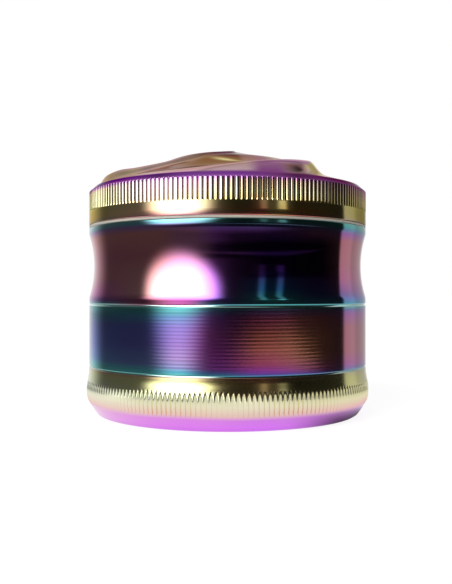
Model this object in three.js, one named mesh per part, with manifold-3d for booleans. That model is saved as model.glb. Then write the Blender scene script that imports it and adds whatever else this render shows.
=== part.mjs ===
// Screw-together metal hand grinder: lid with teeth, waisted grinding cup, sieve barrel, catch base.
// Millimetres, +Z up. Origin on the axis at the underside of the base.
import * as THREE from 'three';
import { mergeVertices } from 'three/addons/utils/BufferGeometryUtils.js';
import Module from 'manifold-3d';

// ---------- driving dimensions (mm) ----------
const SEG = 48;               // facets around the turned parts
const R_BODY = 31.0;          // outer radius of lid, cup rims and barrel
const KNURL_TEETH = 96;       // grooves around the lid and the base, at twice their fine pitch
const Z_BASE_TOP = 10.9;      // seam between base and barrel
const Z_BARREL_TOP = 24.4;    // seam between barrel and cup
const Z_CUP_TOP = 41.05;      // cup rim
const Z_LID_BOTTOM = 41.6;    // lid edge, above the friction ring
const EDGE = 0.2;             // small chamfer at each seam
// threads (crests run clear so that a lifted part slides freely)
const R_SPIGOT = 27.9;
const R_SOCKET = 28.15;
// cup
const WAIST_Z0 = 25.5, WAIST_Z1 = 39.8, WAIST_DEPTH = 1.1;
const R_CUP_IN = 27.5;
const Z_PLATE_BOT = 25.0, Z_PLATE_TOP = 28.5;
const R_POST = 4.5, Z_POST_TOP = 35.4;
const R_MAGNET = 3.0, H_MAGNET = 3.0, MAGNET_GAP = 0.05;
const Z_BOSS_BOT = 36.0;
// lid
const R_SKIRT_OUT = 27.2, R_SKIRT_IN = 25.2, Z_SKIRT_BOT = 39.0, Z_CEILING = 42.5;
const LID_KNURL_Z0 = 44.55, LID_KNURL_Z1 = 48.9, LID_GROOVE = 0.2;
// base
const BASE_KNURL_Z0 = 3.3, BASE_KNURL_Z1 = 6.9, BASE_GROOVE = 0.32, R_BASE_MAX = 31.6;
const Z_FLOOR = 1.6, R_BOWL = 25.0, Z_SOCKET_FLOOR = 5.9;
// barrel
const Z_SPIGOT_BOT = 6.2, Z_SCREEN_LEDGE = 12.2, R_BARREL_IN = 26.75, Z_BARREL_SOCKET = 19.7;
// teeth: [pitch radius, count, first angle in degrees]
const LID_TEETH = [[9.0, 4, 45], [17.8, 8, 22.5]];
const CUP_TEETH = [[13.4, 8, 22.5], [22.2, 12, 15]];
const TOOTH_RADIAL = 3.2, TOOTH_TANGENTIAL = 4.4, TOOTH_TAPER = 0.62, TOOTH_TIP = 1.2;
const Z_LID_TEETH = 29.6, Z_CUP_TEETH = 39.4;
// drop holes: [pitch radius, count, first angle, hole radius]
const DROP_HOLES = [[17.8, 12, 0, 2.7], [9.3, 4, 0, 2.7]];

// crown of the lid: mean profile and lobe height over the radius, with a swirl
const CROWN_N = 3, CROWN_PHASE = -83.4, CROWN_T1 = 1.527, CROWN_T2 = 1.261, CROWN_W = 0.85, CROWN_K = 2.48;
const CROWN_R = [0, 3.72, 7.75, 12.4, 17.05, 21.7, 24.8, 27.28, 29.8];
const CROWN_Z = [59.1, 58.4, 57.5, 56.5, 54.55, 53.2, 52.65, 51.9, 50.0];
const CROWN_A = [0, 0.2, 0.4, 0.5, 0.8, 1.65, 2.45, 2.4, 0];

const wasm = await Module();
wasm.setup();

// ---------- helpers ----------
const deg = (a) => (a * Math.PI) / 180;

function toSolid(geometry) {
  const g = geometry.clone();
  for (const name of Object.keys(g.attributes)) if (name !== 'position') g.deleteAttribute(name);
  const m = mergeVertices(g, 1e-4);
  const index = m.index.array;
  const tris = [];
  for (let i = 0; i < index.length; i += 3) {
    const [a, b, c] = [index[i], index[i + 1], index[i + 2]];
    if (a !== b && b !== c && c !== a) tris.push(a, b, c);
  }
  return new wasm.Manifold(new wasm.Mesh({
    numProp: 3, vertProperties: new Float32Array(m.attributes.position.array), triVerts: new Uint32Array(tris),
  }));
}

function toGeometry(solid) {
  const mesh = solid.getMesh();
  const g = new THREE.BufferGeometry();
  g.setAttribute('position', new THREE.BufferAttribute(new Float32Array(mesh.vertProperties), 3));
  g.setIndex(new THREE.BufferAttribute(new Uint32Array(mesh.triVerts), 1));
  g.computeVertexNormals();
  return g;
}

// a profile of [r, z] points, closed on itself or on the axis, turned about +Z
function turned(profile, segments = SEG) {
  const pts = profile.map(([r, z]) => new THREE.Vector2(r, z));
  const onAxis = profile[0][0] === 0 && profile[profile.length - 1][0] === 0;
  if (!onAxis) pts.push(pts[0].clone());
  let area = 0;
  for (let i = 0; i < pts.length; i++) {
    const p = pts[i], q = pts[(i + 1) % pts.length];
    area += p.x * q.y - q.x * p.y;
  }
  if (area < 0) pts.reverse();
  const g = new THREE.LatheGeometry(pts, segments);
  g.rotateX(Math.PI / 2);
  return fixWinding(g);
}

// turns the faces outwards if the geometry came out inside out
function fixWinding(g) {
  const p = g.attributes.position, idx = g.index ? Array.from(g.index.array) : [...Array(p.count).keys()];
  let vol = 0;
  const a = new THREE.Vector3(), b = new THREE.Vector3(), c = new THREE.Vector3();
  for (let i = 0; i < idx.length; i += 3) {
    a.fromBufferAttribute(p, idx[i]); b.fromBufferAttribute(p, idx[i + 1]); c.fromBufferAttribute(p, idx[i + 2]);
    vol += a.dot(b.clone().cross(c));
  }
  if (vol < 0) for (let i = 0; i < idx.length; i += 3) [idx[i + 1], idx[i + 2]] = [idx[i + 2], idx[i + 1]];
  g.setIndex(idx);
  return g;
}

// rings of points joined into one closed skin; each ring is a list of [x, y, z]
function lofted(rings) {
  const n = rings[0].length, pos = [], idx = [];
  for (const ring of rings) for (const p of ring) pos.push(...p);
  for (let k = 0; k < rings.length - 1; k++)
    for (let i = 0; i < n; i++) {
      const j = (i + 1) % n, a = k * n + i, b = k * n + j, c = (k + 1) * n + j, d = (k + 1) * n + i;
      idx.push(a, b, c, a, c, d);
    }
  const cap = (k, flip) => {
    const centre = rings[k].reduce((s, p) => [s[0] + p[0] / n, s[1] + p[1] / n, s[2] + p[2] / n], [0, 0, 0]);
    const m = pos.length / 3;
    pos.push(...centre);
    for (let i = 0; i < n; i++) {
      const j = (i + 1) % n;
      if (flip) idx.push(k * n + j, k * n + i, m); else idx.push(k * n + i, k * n + j, m);
    }
  };
  cap(0, true); cap(rings.length - 1, false);
  const g = new THREE.BufferGeometry();
  g.setAttribute('position', new THREE.Float32BufferAttribute(pos, 3));
  g.setIndex(idx);
  return fixWinding(g);
}

// ring of V grooves: a star outline from z0 to z1 that stands between the root and the crest radius
function knurl(rCrest0, rCrest1, depth, z0, z1) {
  const ring = (rc, z) => {
    const out = [];
    for (let i = 0; i < KNURL_TEETH * 2; i++) {
      const r = i % 2 ? rc - depth : rc, a = (i * Math.PI) / KNURL_TEETH;
      out.push([r * Math.cos(a), r * Math.sin(a), z]);
    }
    return out;
  };
  return toSolid(lofted([ring(rCrest0, z0), ring(rCrest1, z1)]));
}

// four-sided cutting tooth with a tapered tip, long axis along the tangent
function tooth(radius, angle, zRoot, zTip) {
  const dir = Math.sign(zTip - zRoot), c = Math.cos(angle), s = Math.sin(angle);
  const ring = (k, z) => [[1, 0], [0, 1], [-1, 0], [0, -1]].map(([u, v]) => {
    const x = radius + (u * k * TOOTH_RADIAL) / 2, y = (v * k * TOOTH_TANGENTIAL) / 2;
    return [x * c - y * s, x * s + y * c, z];
  });
  return lofted([ring(1, zRoot), ring(1, zTip - dir * TOOTH_TIP), ring(TOOTH_TAPER, zTip)]);
}

function around(list) {
  const out = [];
  for (const [radius, count, first, extra] of list)
    for (let i = 0; i < count; i++) out.push({ radius, angle: deg(first + (360 / count) * i), extra });
  return out;
}

function disc(radius, z0, z1, segments = 28) {
  return turned([[0, z0], [radius, z0], [radius, z1], [0, z1]], segments);
}

// monotone cubic through the knots
function smoothCurve(xs, ys) {
  const n = xs.length, h = [], d = [], m = new Array(n).fill(0);
  for (let i = 0; i < n - 1; i++) { h.push(xs[i + 1] - xs[i]); d.push((ys[i + 1] - ys[i]) / h[i]); }
  for (let i = 1; i < n - 1; i++)
    if (d[i - 1] * d[i] > 0) {
      const w1 = 2 * h[i] + h[i - 1], w2 = h[i] + 2 * h[i - 1];
      m[i] = (w1 + w2) / (w1 / d[i - 1] + w2 / d[i]);
    }
  m[0] = d[0]; m[n - 1] = d[n - 2];
  return (x) => {
    let i = 0;
    while (i < n - 2 && x > xs[i + 1]) i++;
    const t = Math.min(Math.max((x - xs[i]) / h[i], 0), 1), t2 = t * t, t3 = t2 * t;
    return (2 * t3 - 3 * t2 + 1) * ys[i] + (t3 - 2 * t2 + t) * h[i] * m[i]
      + (-2 * t3 + 3 * t2) * ys[i + 1] + (t3 - t2) * h[i] * m[i + 1];
  };
}

// height of the crown at a radius and an azimuth (radians from -Y, towards +X)
const crownMean = smoothCurve(CROWN_R, CROWN_Z), crownLobe = smoothCurve(CROWN_R, CROWN_A);
function crownHeight(r, azimuth) {
  const d = (26.66 - r) / R_BODY;
  let s = ((azimuth - deg(CROWN_PHASE) - CROWN_T1 * d - CROWN_T2 * d * d) * CROWN_N) / (2 * Math.PI);
  s -= Math.floor(s);
  const t = s < 1 - CROWN_W ? s / (1 - CROWN_W) : (1 - s) / CROWN_W;
  const bump = Math.pow(0.5 + 0.5 * Math.cos(Math.PI * t), CROWN_K);
  return crownMean(r) + crownLobe(r) * (bump - 0.5);
}

// ---------- lid ----------
function lidBody() {
  const n = 72;
  const ring = (r, z) => Array.from({ length: n }, (_, i) => {
    const a = (2 * Math.PI * i) / n, azimuth = Math.atan2(Math.cos(a), -Math.sin(a));
    return [r * Math.cos(a), r * Math.sin(a), z === null ? crownHeight(r, azimuth) : z];
  });
  const rRoot = R_BODY - LID_GROOVE - 0.05;
  const outer = lofted([
    ring(R_BODY - EDGE, Z_LID_BOTTOM), ring(R_BODY, Z_LID_BOTTOM + EDGE), ring(R_BODY, LID_KNURL_Z0), ring(rRoot, LID_KNURL_Z0 + 0.3),
    ring(rRoot, LID_KNURL_Z1 + 0.1), ring(29.8, 50.0),
    ...[28.2, 26.4, 24.2, 21.4, 18.0, 14.0, 9.6, 5.0].map((r) => ring(r, null)), ring(0.8, null),
  ]);
  let solid = toSolid(outer).add(knurl(R_BODY, R_BODY, LID_GROOVE, LID_KNURL_Z0 - 0.05, LID_KNURL_Z1));
  // underside: cavity up to the ceiling, then skirt and magnet boss
  const cavity = toSolid(turned([[0, Z_LID_BOTTOM - 5], [R_SKIRT_OUT, Z_LID_BOTTOM - 5], [R_SKIRT_OUT, Z_CEILING], [0, Z_CEILING]]));
  solid = solid.subtract(cavity);
  const skirt = toSolid(turned([[R_SKIRT_IN, Z_CEILING + 0.5], [R_SKIRT_IN, Z_SKIRT_BOT], [R_SKIRT_OUT - 0.3, Z_SKIRT_BOT], [R_SKIRT_OUT, Z_SKIRT_BOT + 0.3], [R_SKIRT_OUT, Z_CEILING + 0.5]]));
  const boss = toSolid(disc(R_POST, Z_BOSS_BOT, Z_CEILING + 0.5, 36));
  solid = solid.add(skirt).add(boss);
  solid = solid.subtract(toSolid(disc(R_MAGNET + MAGNET_GAP, Z_BOSS_BOT - 1, Z_BOSS_BOT + H_MAGNET + 0.1)));
  return toGeometry(solid);
}

// ---------- grinding cup ----------
function chamberBody() {
  const waist = [];
  for (let i = 0; i <= 6; i++) {
    const u = (i / 6) * 2 - 1;
    waist.push([R_BODY - WAIST_DEPTH * (1 - u * u), WAIST_Z0 + ((WAIST_Z1 - WAIST_Z0) * i) / 6]);
  }
  let solid = toSolid(turned([
    [0, Z_PLATE_BOT], [25.4, Z_PLATE_BOT], [25.4, 19.9], [R_SPIGOT - 0.4, 19.9], [R_SPIGOT, 20.3],
    [R_SPIGOT, Z_BARREL_TOP], [R_BODY - EDGE, Z_BARREL_TOP], [R_BODY, Z_BARREL_TOP + EDGE], ...waist, [R_BODY, Z_CUP_TOP - EDGE], [R_BODY - EDGE, Z_CUP_TOP],
    [R_CUP_IN, Z_CUP_TOP], [R_CUP_IN, Z_PLATE_TOP + 0.8], [R_CUP_IN - 0.8, Z_PLATE_TOP], [R_POST, Z_PLATE_TOP], [R_POST, Z_POST_TOP],
    [R_MAGNET + MAGNET_GAP, Z_POST_TOP], [R_MAGNET + MAGNET_GAP, Z_POST_TOP - H_MAGNET - 0.1], [0, Z_POST_TOP - H_MAGNET - 0.1],
  ]));
  for (const h of around(DROP_HOLES)) {
    const bit = disc(h.extra, Z_PLATE_BOT - 1, Z_PLATE_TOP + 1, 16);
    bit.translate(h.radius * Math.cos(h.angle), h.radius * Math.sin(h.angle), 0);
    solid = solid.subtract(toSolid(bit));
  }
  return toGeometry(solid);
}

// ---------- sieve barrel ----------
function barrelBody() {
  return toGeometry(toSolid(turned([
    [R_BOWL, Z_SPIGOT_BOT], [R_SPIGOT - 0.4, Z_SPIGOT_BOT], [R_SPIGOT, Z_SPIGOT_BOT + 0.4],
    [R_SPIGOT, Z_BASE_TOP], [R_BODY - EDGE, Z_BASE_TOP], [R_BODY, Z_BASE_TOP + EDGE],
    [R_BODY, Z_BARREL_TOP - EDGE], [R_BODY - EDGE, Z_BARREL_TOP], [R_SOCKET, Z_BARREL_TOP],
    [R_SOCKET, Z_BARREL_SOCKET], [R_BARREL_IN, Z_BARREL_SOCKET], [R_BARREL_IN, 14.25], [27.35, 14.2], [27.35, 13.25], [R_BARREL_IN, 13.2],
    [R_BARREL_IN, Z_SCREEN_LEDGE], [R_BOWL, Z_SCREEN_LEDGE],
  ])));
}

// ---------- catch base ----------
function baseBody() {
  const rK0 = 31.15, rK1 = 31.46;
  const core = toSolid(turned([
    [0, 0], [28.4, 0], [29.3, 0.45], [30.2, 1.7], [30.85, BASE_KNURL_Z0 - 0.3], [rK1 - BASE_GROOVE - 0.05, 4.7],
    [rK1 - BASE_GROOVE - 0.05, BASE_KNURL_Z1 - 0.3], [31.42, BASE_KNURL_Z1 + 0.2], [31.27, 8.5], [31.04, 9.8], [31.0, Z_BASE_TOP - EDGE],
    [31.0 - EDGE, Z_BASE_TOP], [R_SOCKET, Z_BASE_TOP], [R_SOCKET, Z_SOCKET_FLOOR],
    [R_BOWL, Z_SOCKET_FLOOR], [R_BOWL, Z_FLOOR + 2.2], [R_BOWL - 2.2, Z_FLOOR], [0, Z_FLOOR],
  ]));
  // knurled belt of the flare, widest a little below its middle
  const belt = (() => {
    const n = KNURL_TEETH * 2;
    const ring = (rc, d, z) => Array.from({ length: n }, (_, i) => {
      const r = i % 2 ? rc - d : rc, a = (2 * Math.PI * i) / n;
      return [r * Math.cos(a), r * Math.sin(a), z];
    });
    return toSolid(lofted([ring(rK0, 0.15, BASE_KNURL_Z0), ring(R_BASE_MAX, BASE_GROOVE, 4.7), ring(rK1, BASE_GROOVE, BASE_KNURL_Z1)]));
  })();
  const bore = toSolid(turned([[0, 2], [29.5, 2], [29.5, 12], [0, 12]]));
  return toGeometry(core.add(belt.subtract(bore)));
}

// ---------- small turned pieces ----------
const frictionRing = () => turned([[27.4, Z_CUP_TOP], [30.95, Z_CUP_TOP], [30.95, Z_LID_BOTTOM], [27.4, Z_LID_BOTTOM]]);
const screenFrame = () => turned([
  [25.15, Z_SCREEN_LEDGE], [26.55, Z_SCREEN_LEDGE], [26.55, 13.15], [25.15, 13.15], [25.15, 12.9], [26.0, 12.9], [26.0, 12.5], [25.15, 12.5],
]);
const screenMesh = () => turned([[0, 12.55], [25.8, 12.55], [25.8, 12.85], [0, 12.85]], 48);
const retainingRing = () => turned([[25.5, 13.35], [27.15, 13.35], [27.15, 14.1], [25.5, 14.1]]);
const lidMagnet = () => turned([[0, Z_BOSS_BOT], [2.8, Z_BOSS_BOT], [R_MAGNET, Z_BOSS_BOT + 0.2], [R_MAGNET, Z_BOSS_BOT + H_MAGNET], [0, Z_BOSS_BOT + H_MAGNET]], 28);
const chamberMagnet = () => turned([[0, Z_POST_TOP - H_MAGNET], [R_MAGNET, Z_POST_TOP - H_MAGNET], [R_MAGNET, Z_POST_TOP - 0.2], [2.8, Z_POST_TOP], [0, Z_POST_TOP]], 28);

// ---------- assembly ----------
const gold = { color: 0xb09a4a, roughness: 0.14, metalness: 1 };
const parts = [
  ['catch_base', baseBody(), gold],
  ['collection_barrel', barrelBody(), { color: 0x5a4a78, roughness: 0.16, metalness: 1 }],
  ['screen_frame', screenFrame(), { color: 0xb8b8bc, roughness: 0.35, metalness: 1 }],
  ['screen_mesh', screenMesh(), { color: 0xa8a8ac, roughness: 0.4, metalness: 1 }],
  ['screen_retaining_ring', retainingRing(), { color: 0xc4c4c8, roughness: 0.3, metalness: 1 }],
  ['grinding_chamber', chamberBody(), { color: 0x4a2c66, roughness: 0.14, metalness: 1 }],
  ['chamber_magnet', chamberMagnet(), { color: 0xc9c9cc, roughness: 0.2, metalness: 1 }],
  ['friction_ring', frictionRing(), { color: 0xe9dfca, roughness: 0.55, metalness: 0 }],
  ['lid', lidBody(), { color: 0xb58a6a, roughness: 0.12, metalness: 1 }],
  ['lid_magnet', lidMagnet(), { color: 0xc9c9cc, roughness: 0.2, metalness: 1 }],
];
// each tooth is a solid of its own, standing on the plate or hanging from the ceiling
const number = (i) => String(i + 1).padStart(2, '0');
around(CUP_TEETH).forEach((t, i) => parts.push([`cup_tooth_${number(i)}`, tooth(t.radius, t.angle, Z_PLATE_TOP, Z_CUP_TEETH), { color: 0x8d6aa8, roughness: 0.2, metalness: 1 }]));
around(LID_TEETH).forEach((t, i) => parts.push([`lid_tooth_${number(i)}`, tooth(t.radius, t.angle, Z_CEILING, Z_LID_TEETH), { color: 0xb89a62, roughness: 0.2, metalness: 1 }]));
const grinder = new THREE.Group();
for (const [name, geometry, look] of parts) {
  const mesh = new THREE.Mesh(geometry, new THREE.MeshStandardMaterial(look));
  mesh.name = name;
  grinder.add(mesh);
}
export default grinder;
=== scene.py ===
import math
import bpy
import bmesh
import numpy as np
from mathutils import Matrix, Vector


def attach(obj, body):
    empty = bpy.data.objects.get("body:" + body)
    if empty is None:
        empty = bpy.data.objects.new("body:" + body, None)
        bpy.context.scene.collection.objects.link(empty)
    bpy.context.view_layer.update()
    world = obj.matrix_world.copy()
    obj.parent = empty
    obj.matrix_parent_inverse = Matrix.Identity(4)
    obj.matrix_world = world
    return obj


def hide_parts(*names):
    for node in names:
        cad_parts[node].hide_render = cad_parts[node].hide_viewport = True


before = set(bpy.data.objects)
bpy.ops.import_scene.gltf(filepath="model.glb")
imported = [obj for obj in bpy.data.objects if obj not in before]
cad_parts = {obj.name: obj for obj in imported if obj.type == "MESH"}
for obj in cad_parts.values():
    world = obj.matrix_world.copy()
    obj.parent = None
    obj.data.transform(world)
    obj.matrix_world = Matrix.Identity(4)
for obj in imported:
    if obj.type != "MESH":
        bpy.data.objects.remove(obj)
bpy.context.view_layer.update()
scene = bpy.context.scene
MM = 0.001
TAU = 2 * math.pi

# ------------------------------------------------------------------ dimensions (mm), as in the frame
R_BODY = 31.0
Z_BASE_TOP, Z_BARREL_TOP, Z_CUP_TOP, Z_LID_BOTTOM = 10.9, 24.4, 41.05, 41.6
GROOVES = 192
CUP_TEETH = [(13.4, 8, 22.5), (22.2, 12, 15.0)]
LID_TEETH = [(9.0, 4, 45.0), (17.8, 8, 22.5)]
DROP_HOLES = [(17.8, 12, 0.0, 2.7), (9.3, 4, 0.0, 2.7)]
THREAD_PITCH = 1.5

CROWN_N, CROWN_PHASE, CROWN_T1, CROWN_T2, CROWN_W, CROWN_K = 3, -83.4, 1.527, 1.261, 0.85, 2.48
CROWN_R = [0, 3.72, 7.75, 12.4, 17.05, 21.7, 24.8, 27.28, 29.8]
CROWN_Z = [59.1, 58.4, 57.5, 56.5, 54.55, 53.2, 52.65, 51.9, 50.0]
CROWN_A = [0, 0.2, 0.4, 0.5, 0.8, 1.65, 2.45, 2.4, 0]


# ------------------------------------------------------------------ mesh tools
def smoothstep(a, b, x):
    t = np.clip((np.asarray(x, float) - a) / (b - a), 0, 1)
    return t * t * (3 - 2 * t)


def monotone(xs, ys):
    xs, ys = np.asarray(xs, float), np.asarray(ys, float)
    h, d = np.diff(xs), np.diff(ys) / np.diff(xs)
    m = np.zeros(len(xs))
    for i in range(1, len(xs) - 1):
        if d[i - 1] * d[i] > 0:
            w1, w2 = 2 * h[i] + h[i - 1], h[i] + 2 * h[i - 1]
            m[i] = (w1 + w2) / (w1 / d[i - 1] + w2 / d[i])
    m[0], m[-1] = d[0], d[-1]

    def f(x):
        x = np.asarray(x, float)
        i = np.clip(np.searchsorted(xs, x, side="right") - 1, 0, len(xs) - 2)
        t = np.clip((x - xs[i]) / h[i], 0, 1)
        return ((2 * t**3 - 3 * t**2 + 1) * ys[i] + (t**3 - 2 * t**2 + t) * h[i] * m[i]
                + (-2 * t**3 + 3 * t**2) * ys[i + 1] + (t**3 - t**2) * h[i] * m[i + 1])
    return f


def rounded(points, default=0.0, steps=4):
    """Profile corners turned into arcs. points: (r, z, fillet radius, tag)."""
    out, n = [], len(points)
    for i, p in enumerate(points):
        r, z = p[0], p[1]
        rad = p[2] if len(p) > 2 and p[2] is not None else default
        tag = p[3] if len(p) > 3 else None
        if rad <= 0 or i == 0 or i == n - 1:
            out.append((r, z, tag))
            continue
        a, b, c = np.array(points[i - 1][:2]), np.array((r, z)), np.array(points[i + 1][:2])
        u, v = a - b, c - b
        lu, lv = np.linalg.norm(u), np.linalg.norm(v)
        u, v = u / lu, v / lv
        ang = math.acos(max(-1, min(1, float(u @ v))))
        t = min(rad / math.tan(ang / 2), lu * 0.48, lv * 0.48)
        rr = t * math.tan(ang / 2)
        bis = (u + v) / np.linalg.norm(u + v)
        centre = b + bis * (rr / math.sin(ang / 2))
        p0, p1 = b + u * t, b + v * t
        a0 = math.atan2(*(p0 - centre)[::-1])
        a1 = math.atan2(*(p1 - centre)[::-1])
        da = (a1 - a0 + math.pi) % TAU - math.pi
        for k in range(steps + 1):
            a_ = a0 + da * k / steps
            out.append((centre[0] + rr * math.cos(a_), centre[1] + rr * math.sin(a_), tag))
    return out


def thread_wave(x):
    """Trapezoid thread section over one pitch, 0 at the root and 1 at the crest."""
    x = x % 1.0
    return np.clip(np.minimum(x / 0.28, (1.0 - x) / 0.28) - 0.35, 0, 1)


def revolve(rings, closed):
    """rings: list of (seg, r array or float, z array or float). Joined in order; closed joins the last to the first.
    A ring of r == 0 is a single point on the axis."""
    verts, starts, segs = [], [], []
    count = 0
    for seg, r, z, ang in rings:
        starts.append(count)
        if seg == 1:
            verts.append([[0.0, 0.0, float(np.mean(z))]])
            segs.append(1)
            count += 1
            continue
        rr, zz = np.broadcast_to(r, seg), np.broadcast_to(z, seg)
        verts.append(np.stack([rr * np.cos(ang), rr * np.sin(ang), zz], 1))
        segs.append(seg)
        count += seg
    verts = np.concatenate([np.asarray(v, float) for v in verts])
    faces = []
    pairs = [(k, k + 1) for k in range(len(rings) - 1)] + ([(len(rings) - 1, 0)] if closed else [])
    for a, b in pairs:
        na, nb, sa, sb = segs[a], segs[b], starts[a], starts[b]
        if na == 1 and nb == 1:
            continue
        if na == nb:
            i = np.arange(na)
            j = (i + 1) % na
            faces += np.stack([sa + i, sa + j, sb + j, sb + i], 1).tolist()
        elif na == 1:
            i = np.arange(nb)
            faces += np.stack([np.full(nb, sa), sb + (i + 1) % nb, sb + i], 1).tolist()
        elif nb == 1:
            i = np.arange(na)
            faces += np.stack([sa + i, sa + (i + 1) % na, np.full(na, sb)], 1).tolist()
        else:
            coarse_first = na < nb
            nc, nf, sc, sf = (na, nb, sa, sb) if coarse_first else (nb, na, sb, sa)
            k = nf // nc
            for i in range(nc):
                c0, c1 = sc + i, sc + (i + 1) % nc
                f = [sf + (i * k + q) % nf for q in range(k + 1)]
                h = k // 2
                tri = []
                for q in range(h):
                    tri.append([c0, f[q + 1], f[q]])
                tri.append([c0, c1, f[h]])
                for q in range(h, k):
                    tri.append([c1, f[q + 1], f[q]])
                if coarse_first:
                    faces += tri
                else:
                    faces += [t[::-1] for t in tri]
    return verts, faces


def evenly(seg):
    return np.arange(seg) * TAU / seg


def rings_from(profile, seg, displace=None):
    """Profile of (r, z, tag) to rings at one segment count, with an optional displacement per tag."""
    ang = evenly(seg)
    out = []
    for r, z, tag in profile:
        if r < 1e-6:
            out.append((1, 0, z, None))
            continue
        rr, zz = np.full(seg, float(r)), np.full(seg, float(z))
        if displace and tag in displace:
            rr, zz = displace[tag](rr, zz, ang)
        out.append((seg, rr, zz, ang))
    return out


def volume(verts, faces):
    v = 0.0
    tri = []
    for f in faces:
        for k in range(1, len(f) - 1):
            tri.append((f[0], f[k], f[k + 1]))
    t = np.asarray(tri)
    a, b, c = verts[t[:, 0]], verts[t[:, 1]], verts[t[:, 2]]
    return float(np.einsum("ij,ij->i", a, np.cross(b, c)).sum() / 6)


def mesh_object(name, verts, faces, sharp=32.0, smooth=True):
    verts = np.asarray(verts, float)
    if volume(verts, faces) < 0:
        faces = [f[::-1] for f in faces]
    me = bpy.data.meshes.new(name)
    me.from_pydata((verts * MM).tolist(), [], faces)
    me.update()
    ob = bpy.data.objects.new(name, me)
    scene.collection.objects.link(ob)
    finish_shading(ob, sharp, smooth)
    return ob


def finish_shading(ob, sharp=32.0, smooth=True):
    me = ob.data
    me.polygons.foreach_set("use_smooth", [smooth] * len(me.polygons))
    if smooth:
        me.set_sharp_from_angle(angle=math.radians(sharp))
    me.update()


def boolean(ob, tool, op):
    m = ob.modifiers.new("b", "BOOLEAN")
    m.operation, m.object, m.solver = op, tool, "MANIFOLD"
    deps = bpy.context.evaluated_depsgraph_get()
    new = bpy.data.meshes.new_from_object(ob.evaluated_get(deps))
    old = ob.data
    ob.modifiers.clear()
    ob.data = new
    bpy.data.meshes.remove(old)
    me = tool.data
    bpy.data.objects.remove(tool)
    bpy.data.meshes.remove(me)


def joined(parts):
    """Several (verts, faces) as one, faces turned outwards for each."""
    V, F, n = [], [], 0
    for v, f in parts:
        v = np.asarray(v, float)
        if volume(v, f) < 0:
            f = [q[::-1] for q in f]
        V.append(v)
        F += [[i + n for i in q] for q in f]
        n += len(v)
    return np.concatenate(V), F


def loft(rings):
    n = len(rings[0])
    V = np.concatenate([np.asarray(r, float) for r in rings])
    F = []
    for k in range(len(rings) - 1):
        for i in range(n):
            j = (i + 1) % n
            F.append([k * n + i, k * n + j, (k + 1) * n + j, (k + 1) * n + i])
    F.append(list(range(n))[::-1])
    F.append([(len(rings) - 1) * n + i for i in range(n)])
    return V, F


def tooth(radius, angle, z_root, z_tip):
    """Diamond cutting tooth: hollow-ground flanks, drafted sides, bevelled tip."""
    s = 1 if z_tip > z_root else -1
    a, b = 1.6, 2.2
    outline = []
    corners = [(a, 0), (0, b), (-a, 0), (0, -b)]
    for k in range(4):
        p, q = np.array(corners[k]), np.array(corners[(k + 1) % 4])
        for t in (0.05, 0.16, 0.35, 0.5, 0.65, 0.84, 0.95):
            m = p * (1 - t) + q * t
            dip = 1 - 0.085 * math.sin(math.pi * t)
            outline.append(m * dip)
    outline = np.array(outline)
    c, sn = math.cos(angle), math.sin(angle)

    def ring(scale, z, shift=0.0):
        x = radius + outline[:, 0] * scale + shift
        y = outline[:, 1] * scale
        return np.stack([x * c - y * sn, x * sn + y * c, np.full(len(x), z)], 1)
    L = abs(z_tip - z_root)
    rows = [ring(1.0, z_root - s * 0.4), ring(1.0, z_root), ring(0.985, z_root + s * L * 0.45), ring(0.965, z_tip - s * 1.25),
            ring(0.93, z_tip - s * 1.05), ring(0.66, z_tip - s * 0.12), ring(0.60, z_tip)]
    return loft(rows)


def around(table):
    for row in table:
        for i in range(row[1]):
            yield row[0], math.radians(row[2] + 360.0 / row[1] * i), (row[3] if len(row) > 3 else None)


def male_thread(z0, z1, depth, pitch=THREAD_PITCH):
    def f(r, z, ang):
        env = smoothstep(z0, z0 + 0.5, z) * (1 - smoothstep(z1 - 0.5, z1, z))
        return r + depth * env * (thread_wave(z / pitch - ang / TAU)), z
    return f


# ------------------------------------------------------------------ crown of the lid
_mean, _lobe = monotone(CROWN_R, CROWN_Z), monotone(CROWN_R, CROWN_A)


def crown_parts(r, az):
    d = (26.66 - r) / R_BODY
    s = (az - math.radians(CROWN_PHASE) - CROWN_T1 * d - CROWN_T2 * d * d) * CROWN_N / TAU
    s = s - np.floor(s)
    w = CROWN_W
    t = np.where(s < 1 - w, s / (1 - w), (1 - s) / w)
    bump = (0.5 + 0.5 * np.cos(np.pi * t)) ** CROWN_K
    # mask for the painted gold glint on the steep flank of each swirl
    flank_glint = np.exp(-(((s - 0.115) / 0.055) ** 2))
    return _mean(r) + _lobe(r) * (bump - 0.5), bump, flank_glint


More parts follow.
